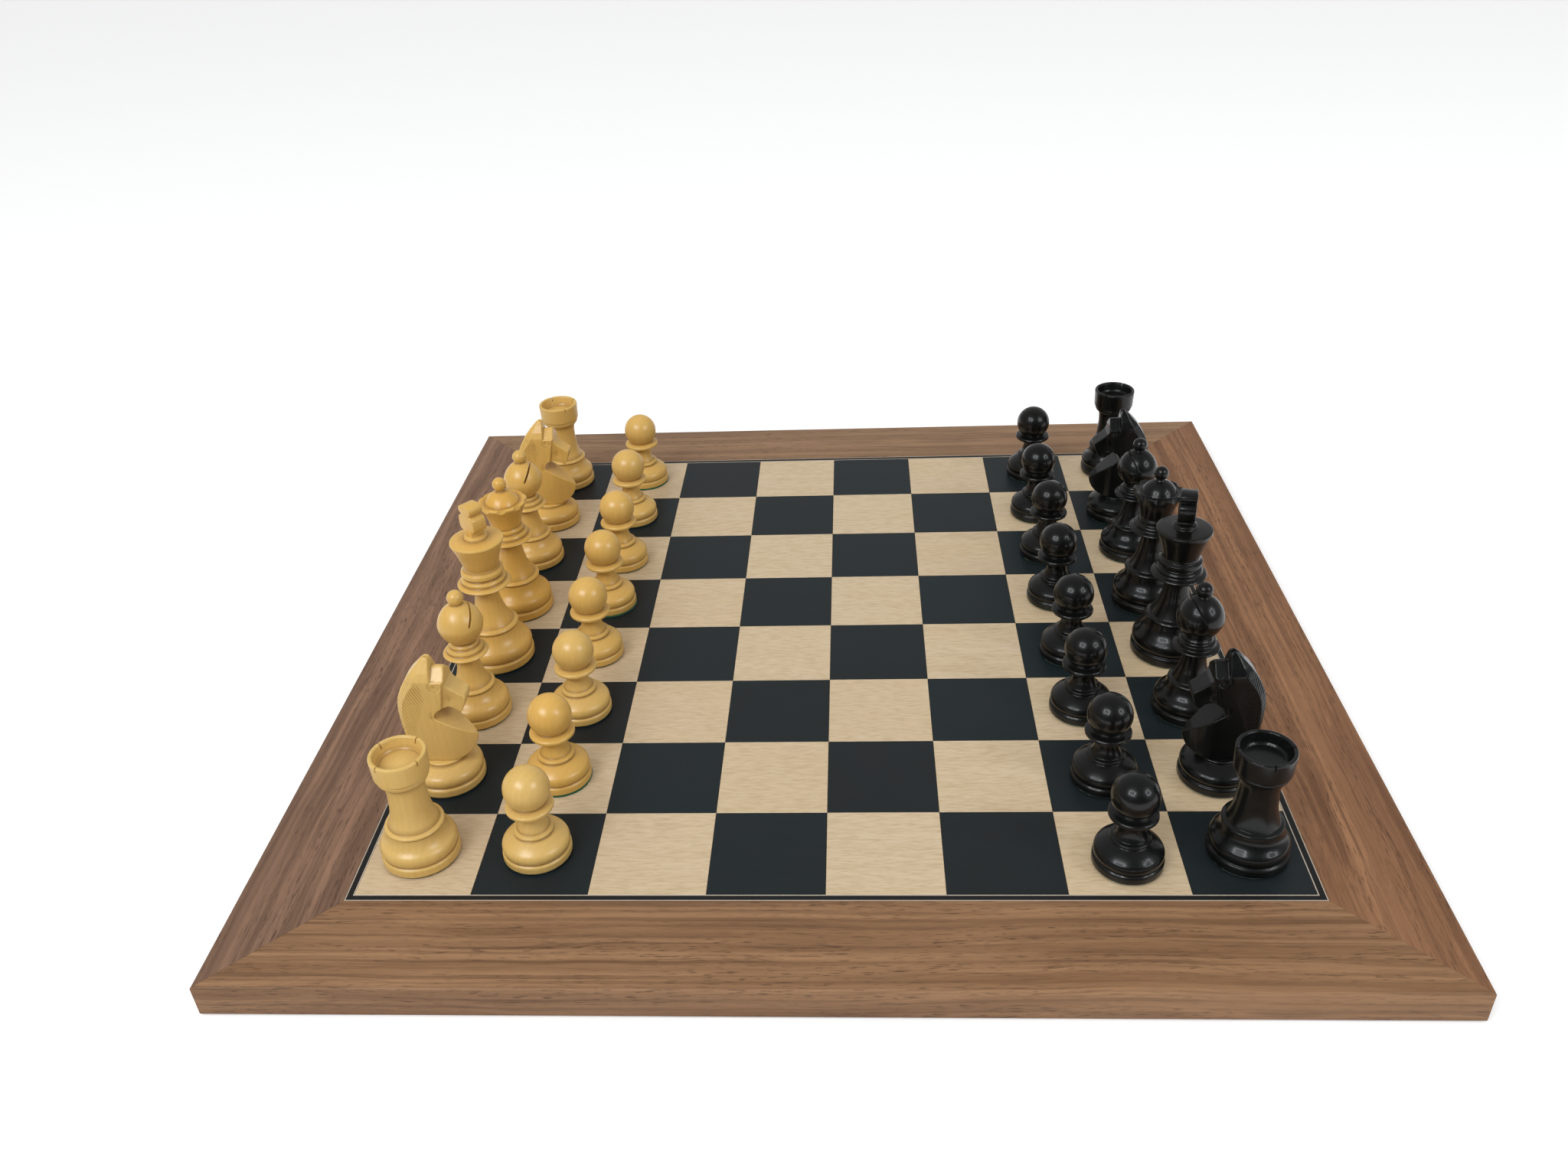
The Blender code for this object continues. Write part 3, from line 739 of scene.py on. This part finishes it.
def surface_of(field):
    """Points and quads of the field's zero surface: a point in each cell that it crosses."""
    inside = field < 0
    corners = [(i, j, k) for i in (0, 1) for j in (0, 1) for k in (0, 1)]
    edges = [
        (a, b) for a in corners for b in corners
        if a < b and sum(abs(p - q) for p, q in zip(a, b)) == 1
    ]
    shape = tuple(n - 1 for n in field.shape)
    total = np.zeros(shape)
    moved = np.zeros((*shape, 3))

    def at_corner(c, array):
        return array[c[0] : c[0] + shape[0], c[1] : c[1] + shape[1], c[2] : c[2] + shape[2]]

    # Each cell's point is the mean of where the surface crosses the cell's edges.
    for a, b in edges:
        value_a, value_b = at_corner(a, field), at_corner(b, field)
        crossed = at_corner(a, inside) != at_corner(b, inside)
        share = np.where(crossed, value_a / np.where(crossed, value_a - value_b, 1), 0)
        for k in range(3):
            moved[..., k] += crossed * (a[k] + share * (b[k] - a[k]))
        total += crossed
    cells = total > 0
    index = np.full(shape, -1)
    index[cells] = np.arange(cells.sum())
    low = np.stack(np.nonzero(cells), 1)
    points = (low + moved[cells] / total[cells][:, None]) * GRID + HEAD_LOW
    # Each grid edge that the surface crosses joins the four cells round it.
    faces = []
    for k in range(3):
        one, two = (k + 1) % 3, (k + 2) % 3
        lower = [slice(None)] * 3
        upper = [slice(None)] * 3
        lower[k], upper[k] = slice(0, -1), slice(1, None)
        starts_inside = inside[tuple(lower)]
        at = np.stack(np.nonzero(starts_inside != inside[tuple(upper)]), 1)
        at = at[(at[:, one] > 0) & (at[:, two] > 0)]
        outward = starts_inside[tuple(at.T)]
        step_one = np.eye(3, dtype=int)[one]
        step_two = np.eye(3, dtype=int)[two]
        ring = [at, at - step_one, at - step_one - step_two, at - step_two]
        quad = np.stack([index[tuple(r.T)] for r in ring], 1)
        quad[~outward] = quad[~outward][:, ::-1]
        faces.append(quad)
    return points, np.vstack(faces).tolist()


def crease_of(obj):
    """How hollow the surface is round each point, from 0 (edge) to 1 (groove)."""
    mesh = obj.data
    count = len(mesh.vertices)
    place = np.empty(count * 3)
    mesh.vertices.foreach_get("co", place)
    place = place.reshape(-1, 3) / MM
    normal = np.empty(count * 3)
    mesh.vertices.foreach_get("normal", normal)
    normal = normal.reshape(-1, 3)
    ends = np.empty(len(mesh.edges) * 2, int)
    mesh.edges.foreach_get("vertices", ends)
    ends = ends.reshape(-1, 2)
    near = np.bincount(ends.ravel(), minlength=count)[:, None]
    spread = place.copy()
    for _ in range(6):
        total = np.zeros_like(spread)
        for a, b in ((0, 1), (1, 0)):
            for k in range(3):
                total[:, k] += np.bincount(ends[:, a], spread[ends[:, b], k], count)
        spread = 0.5 * spread + 0.5 * total / np.maximum(near, 1)
    hollow = ((spread - place) * normal).sum(1)
    return np.clip(0.5 + hollow / 0.16, 0, 1)


# ---------------------------------------------------------------- pieces
def place_of(key, side):
    """Where a piece stands: its foot on the board, White looking along +X."""
    node_name = key + "_base" if "knight" in key else key
    low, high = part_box(node_name)
    facing = math.radians(TURNED.get(key, 0)) + (math.pi if side > 0 else 0)
    spot = Matrix.Translation(((low.x + high.x) / 2, (low.y + high.y) / 2, low.z))
    return spot @ Matrix.Rotation(facing, 4, "Z")


def crenel_tool():
    """Blades that saw four slits across the rook's rim."""
    half_width, reach, low, high = 0.31, 15.0, 53.9, 58.0
    corners = []
    for quarter in range(4):
        spin = Matrix.Rotation(math.radians(45 - 90 * quarter), 2)
        for point in ((half_width, half_width), (reach, half_width), (reach, -half_width)):
            corners.append(tuple(spin @ Vector(point)))
    return prism("tool", corners, low, high, None, axis="z")


def slot_tool():
    """Thin leaning blade that saws the bishop's slot."""
    lean, half_width, length, reach = math.radians(30), 0.55, 20, 15
    x, z = 0.9, 55.8
    along_x, along_z = math.sin(lean), math.cos(lean)
    across_x, across_z = half_width * along_z, -half_width * along_x
    tip_x, tip_z = x + length * along_x, z + length * along_z
    outline = [
        (x + across_x, z + across_z), (tip_x + across_x, tip_z + across_z),
        (tip_x - across_x, tip_z - across_z), (x - across_x, z - across_z),
    ]
    return prism("tool", outline, -reach, reach, None)


def scallop_tool(from_axis):
    """Ring of leaning round bars that notch the queen's coronet."""
    notches, height, radius, length = 9, 66.8, 3.6, 12.0
    shape = bmesh.new()
    for notch in range(notches):
        at = Matrix.Rotation(math.tau * notch / notches, 4, "Z")
        at @= Matrix.Translation((from_axis * MM, 0, height * MM))
        at @= Matrix.Rotation(math.radians(-16), 4, "Y")
        bmesh.ops.create_cone(
            shape, cap_ends=True, segments=40, matrix=at,
            radius1=radius * MM, radius2=radius * MM, depth=length * MM,
        )
    mesh = bpy.data.meshes.new("tool")
    shape.to_mesh(mesh)
    shape.free()
    tool = bpy.data.objects.new("tool", mesh)
    bpy.context.scene.collection.objects.link(tool)
    return tool


def cross_object(name, material, seed):
    """King's cross with softly rounded edges."""
    half_thick, rounding = 4.0, 1.4
    outline = [*CROSS, *[(-x, z) for x, z in CROSS[-2:0:-1]]]
    obj = prism(name, outline, -half_thick, half_thick, material)
    obj.data.transform(Matrix.Rotation(math.pi / 2, 4, "Z"))
    step = obj.modifiers.new("soft", "BEVEL")
    step.width = rounding * MM
    step.segments = 4
    step.limit_method = "ANGLE"
    step.angle_limit = math.radians(40)
    finished(obj, 50)
    mark(obj, "crease", 0.5)
    mark(obj, "seed", seed)
    return obj


def felt_object(name, radius, material, rng):
    """Disc of baize under a foot, its rim a little uneven."""
    sides = 72
    wobble = [rng.uniform(-0.12, 0.12) for _ in range(sides)]
    rings = ((-0.55, -0.28), (-0.15, -0.1), (-0.10, 0.35), (-0.3, FELT_THICK))
    points = [(0, 0, rings[0][1]), (0, 0, rings[-1][1])]
    for inset, height in rings:
        for side in range(sides):
            angle = math.tau * side / sides
            r = radius + inset + wobble[side]
            points.append((r * math.cos(angle), r * math.sin(angle), height))
    return new_object(name, points, round_faces(len(rings), sides), material)


def settle(obj, place, body, slot, *nodes):
    """Puts a finished piece where it stands and ties it to its body."""
    obj.matrix_world = place
    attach(obj, body)
    if nodes:
        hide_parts(*nodes)


def build_piece(key, kind, side, material, slot, baize, head, rng):
    """One chessman: its turned wood, its felt, and a king's cross or a knight's head."""
    seed = rng.random()
    tone = TONE.get(key, 0.5)
    place = place_of(key, side)
    wood_node = key + "_base" if kind == "knight" else key
    piece = lathe(wood_node + "_turned", PROFILES[kind], material, seed)
    if kind == "rook":
        cut(piece, crenel_tool())
    if kind == "bishop":
        cut(piece, slot_tool())
    if kind == "queen":
        cut(piece, scallop_tool(SCALLOPS_FROM_AXIS[key]))
    mark(piece, "tone", tone)
    settle(piece, place, key, slot, wood_node)
    reach = 0.25 if key in FELT_SHOWS else -0.75
    disc = felt_object(key + "_felt", BASE_RADIUS[kind] + reach, baize, rng)
    settle(disc, place, key, None)
    if kind == "king":
        cross = cross_object(key + "_cross_carved", material, seed)
        mark(cross, "tone", tone)
        settle(cross, place, key, slot, key + "_cross")
    if kind == "knight":
        carving = new_object(key + "_head_carved", *head, material)
        mark(carving, "crease", crease_of(carving))
        mark(carving, "seed", seed)
        mark(carving, "tone", tone)
        settle(carving, place, key, slot, key + "_head")


def build_army(side, colour, material, slot, baize, head, rng):
    """The sixteen chessmen of one side, from file h to file a: back row, then pawns."""
    back_row = "rook knight bishop king queen bishop knight rook".split()
    files = "hgfedcba"
    for file, kind in zip(files, back_row):
        alone = kind in ("king", "queen")
        key = f"{colour}_{kind}" if alone else f"{colour}_{kind}_{file}"
        build_piece(key, kind, side, material, slot, baize, head, rng)
    for file in files:
        build_piece(f"{colour}_pawn_{file}", "pawn", side, material, slot, baize, head, rng)


# ---------------------------------------------------------------- board
def mitred(name, section, angle, material, gap=0.05):
    """One side of a square frame from a closed section of (from the centre, height)."""
    turn = Matrix.Rotation(math.radians(angle), 3, "Z")
    near = [tuple(turn @ Vector((x, gap - x, height))) for x, height in section]
    far = [tuple(turn @ Vector((x, x - gap, height))) for x, height in section]
    obj = bridged(name, near, far, material, smooth=True)
    obj.data.set_sharp_from_angle(angle=math.radians(40))
    return obj


def eased_section(low, high, bottom, top, radius, steps=5):
    """Rail section with rounded outer corners and a crisp inner edge."""
    crisp = 0.1
    points = [(low, bottom)]
    for corner_z, start in ((bottom + radius, -90), (top - radius, 0)):
        for step in range(steps + 1):
            angle = math.radians(start + 90 * step / steps)
            x = high - radius + radius * math.cos(angle)
            points.append((x, corner_z + radius * math.sin(angle)))
    points.append((low + crisp, top))
    points.append((low, top - crisp))
    return points


def squares_object(name, parity, material, rng, under, top):
    """All squares of one wood, each a slip of veneer with its own seed."""
    gap, ease = 0.05, 0.10
    points, faces, seeds = [], [], []
    for rank in range(8):
        for file in range(8):
            seed = rng.random()
            if (rank + file) % 2 != parity:
                continue
            low = Vector((-FIELD + rank * SQUARE + gap, -FIELD + file * SQUARE + gap))
            high = Vector((low.x + SQUARE - 2 * gap, low.y + SQUARE - 2 * gap))
            start = len(points)
            for inset, height in ((0, under), (0, top - ease), (ease, top)):
                left, right = low.x + inset, high.x - inset
                front, back = low.y + inset, high.y - inset
                ring = ((left, front), (right, front), (right, back), (left, back))
                points += [(x, y, height) for x, y in ring]
            faces.append(tuple(start + i for i in (3, 2, 1, 0)))
            faces.append(tuple(start + 8 + i for i in range(4)))
            for level in (0, 4):
                for i in range(4):
                    j = (i + 1) % 4
                    faces.append(tuple(start + level + k for k in (i, j, j + 4, i + 4)))
            seeds += [seed] * 12
    obj = new_object(name, points, faces, material, smooth=False)
    mark(obj, "seed", np.array(seeds))
    return obj


# Pale, middle and dark tone of each rail's walnut. The sides differ partly by their own veneer and
# partly by painted light and shade: the back rail is painted lighter, the left one darker.
WALNUT_TONES_AS_LIT = {
    "front": ((0.340, 0.188, 0.093), (0.208, 0.107, 0.050), (0.108, 0.051, 0.024)),
    "right": ((0.350, 0.174, 0.085), (0.206, 0.097, 0.046), (0.112, 0.049, 0.023)),
    "left": ((0.290, 0.166, 0.104), (0.170, 0.095, 0.060), (0.094, 0.050, 0.031)),
    "back": ((0.335, 0.196, 0.106), (0.238, 0.138, 0.074), (0.160, 0.090, 0.049)),
}


def build_board(rng):
    """Squares, inlaid lines and mitred rails, with wood on the hidden core and backing."""
    low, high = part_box("rank_strip_1")
    under, top = low.z / MM, high.z / MM
    rail_low, rail_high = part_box("frame_rail_right")
    inner, outer = rail_low.x / MM, rail_high.x / MM
    strips = [f"rank_strip_{rank}" for rank in range(1, 9)]
    light = squares_object("light_squares", 0, maple(), rng, under, top)
    settle(light, Matrix(), "board", "maple", *strips)
    black = dyed_black("black_dyed_squares", (0.0115, 0.0138, 0.0148))
    dark = squares_object("dark_squares", 1, black, rng, under, top)
    settle(dark, Matrix(), "board", "black_dyed_veneer", *strips)
    band = dyed_black("black_dyed_band", (0.0105, 0.0090, 0.0085))
    pale = stringing()
    lines = (
        ("inner_stringing", FIELD + 0.06, FIELD + 0.50, pale, "maple"),
        ("black_band", FIELD + 0.54, FIELD + 2.92, band, "black_dyed_veneer"),
        ("outer_stringing", FIELD + 2.96, inner - 0.04, pale, "maple"),
    )
    line_top = top - 0.02
    rail = eased_section(inner, outer, 0.0, top, 0.8)
    # Each side's turn from the right-hand one, and the turn of its grain.
    sides = (("right", 0, 90), ("back", 90, 0), ("left", 180, 90), ("front", 270, 0))
    for number, (side, angle, grain) in enumerate(sides):
        shift = (0.31 * number, 0.17 * number, 0.05 * number)
        # Each rail gets its own walnut, tinted with its side's painted light and shade.
        wood = walnut("walnut_" + side, grain, WALNUT_TONES_AS_LIT[side], shift)
        made = mitred("frame_rail_" + side + "_veneered", rail, angle, wood)
        settle(made, Matrix(), "board", "walnut", "frame_rail_" + side)
        for name, start, end, material, slot in lines:
            section = [(start, under), (end, under), (end, line_top), (start, line_top)]
            made = mitred(f"{name}_{side}", section, angle, material, 0.02)
            if material is band:
                mark(made, "seed", 0.2)
            settle(made, Matrix(), "board", slot, "inlay_band_" + side)
    for name, material in (("core_panel", fibreboard()), ("backing_veneer", pale)):
        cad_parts[name].data.materials.clear()
        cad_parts[name].data.materials.append(material)


# ---------------------------------------------------------------- stage
# In metres: camera and lamps stand in front of the board, on the side of file h.
CAMERA_PLACE = (0.0156, -0.5821, 0.4082)
CAMERA_TURN = (57.7365, 2.4673, 2.3979)
LENS_MM, SENSOR_MM = 29.455, 36.0
FLOOR_HALF_MM = 6000.0
FLOOR_DROP = 0.0005
DAYLIGHT = (0.94, 0.97, 1.0)
LAMPS_AIM = (0, 0, 0.03)
# Soft boxes: name, place, width, height, watts on the wood, watts mirrored in the lacquer.
WINDOWS = (
    ("left_window", (-1.00, -1.50, 1.72), 1.00, 0.70, 20.0, 60.0),
    ("right_window", (1.60, -1.00, 1.24), 0.64, 0.62, 10.5, 27.0),
)


def light(kind, name, place, aim, energy, colour):
    """Lamp of a kind at a place, turned to its aim; the camera doesn't see it."""
    lamp = bpy.data.lights.new(name, kind)
    lamp.energy = energy
    lamp.color = colour
    obj = bpy.data.objects.new(name, lamp)
    obj.location = place
    obj.rotation_euler = (Vector(aim) - Vector(place)).to_track_quat("-Z", "Y").to_euler()
    obj.visible_camera = False
    bpy.context.scene.collection.objects.link(obj)
    return obj


def build_floor():
    """Wide pale floor, a little below the board's underside."""
    made, tree, shader = new_material("pale_floor")
    fill_inputs(tree, shader, {
        "Base Color": (0.97, 0.97, 0.97, 1), "Roughness": 0.9, "Specular IOR Level": 0.1,
        "Emission Color": (1, 1, 1, 1), "Emission Strength": 0.12,
    })
    ring = ((-1, -1), (1, -1), (1, 1), (-1, 1))
    corners = [(FLOOR_HALF_MM * x, FLOOR_HALF_MM * y, 0) for x, y in ring]
    floor = new_object("floor", corners, [(0, 1, 2, 3)], made, smooth=False)
    floor.location.z = -FLOOR_DROP


def build_world():
    """White room that glows more from behind the board, and looks plain white itself."""
    world = bpy.data.worlds.new("studio")
    bpy.context.scene.world = world
    world.use_nodes = True
    tree = world.node_tree
    back = tree.nodes["Background"]
    toward = node(tree, "TexCoord").outputs["Generated"]
    depth = node(tree, "SeparateXYZ", {0: toward}).outputs["Y"]
    reach = {"Value": depth, "From Min": -1.0, "From Max": 1.0, "To Min": 0.04, "To Max": 0.54}
    glow = node(tree, "MapRange", reach).outputs[0]
    seen = node(tree, "LightPath").outputs["Is Camera Ray"]
    strength = maths(tree, "MAXIMUM", glow, seen)
    fill_inputs(tree, back, {"Color": (1.0, 1.0, 1.0, 1), "Strength": strength})


def build_lamps():
    """Wide soft sun overhead, and a twin pair of soft boxes at each window."""
    fill = light("SUN", "fill", (-0.3, -0.3, 1.0), (0, 0, 0), 1.62, (1.0, 1.0, 1.0))
    fill.data.angle = math.radians(80)
    fill.visible_glossy = False
    # Each soft box lights the wood; its brighter twin is only mirrored in the lacquer.
    for name, place, width, height, energy, mirrored in WINDOWS:
        for suffix, scale, power in (("_light", 1.0, energy), ("_shine", 1.2, mirrored)):
            lamp = light("AREA", name + suffix, place, LAMPS_AIM, power, DAYLIGHT)
            lamp.data.shape = "RECTANGLE"
            lamp.data.size, lamp.data.size_y = scale * width, scale * height
            lamp.visible_glossy = suffix == "_shine"
            lamp.visible_diffuse = suffix == "_light"


def build_camera():
    lens = bpy.data.cameras.new("camera")
    lens.lens = LENS_MM
    lens.sensor_width = SENSOR_MM
    lens.clip_start, lens.clip_end = 0.01, 20
    camera = bpy.data.objects.new("camera", lens)
    camera.location = CAMERA_PLACE
    camera.rotation_euler = [math.radians(angle) for angle in CAMERA_TURN]
    bpy.context.scene.collection.objects.link(camera)
    bpy.context.scene.camera = camera


def main():
    rng = random.Random(SEED)
    build_camera()
    build_board(rng)
    baize = felt()
    head = surface_of(head_field())
    build_army(-1, "white", boxwood(), "boxwood", baize, head, rng)
    build_army(1, "black", ebonised(), "ebonised_wood", baize, head, rng)
    build_floor()
    build_world()
    build_lamps()
    bpy.context.scene.view_settings.view_transform = "Standard"


main()
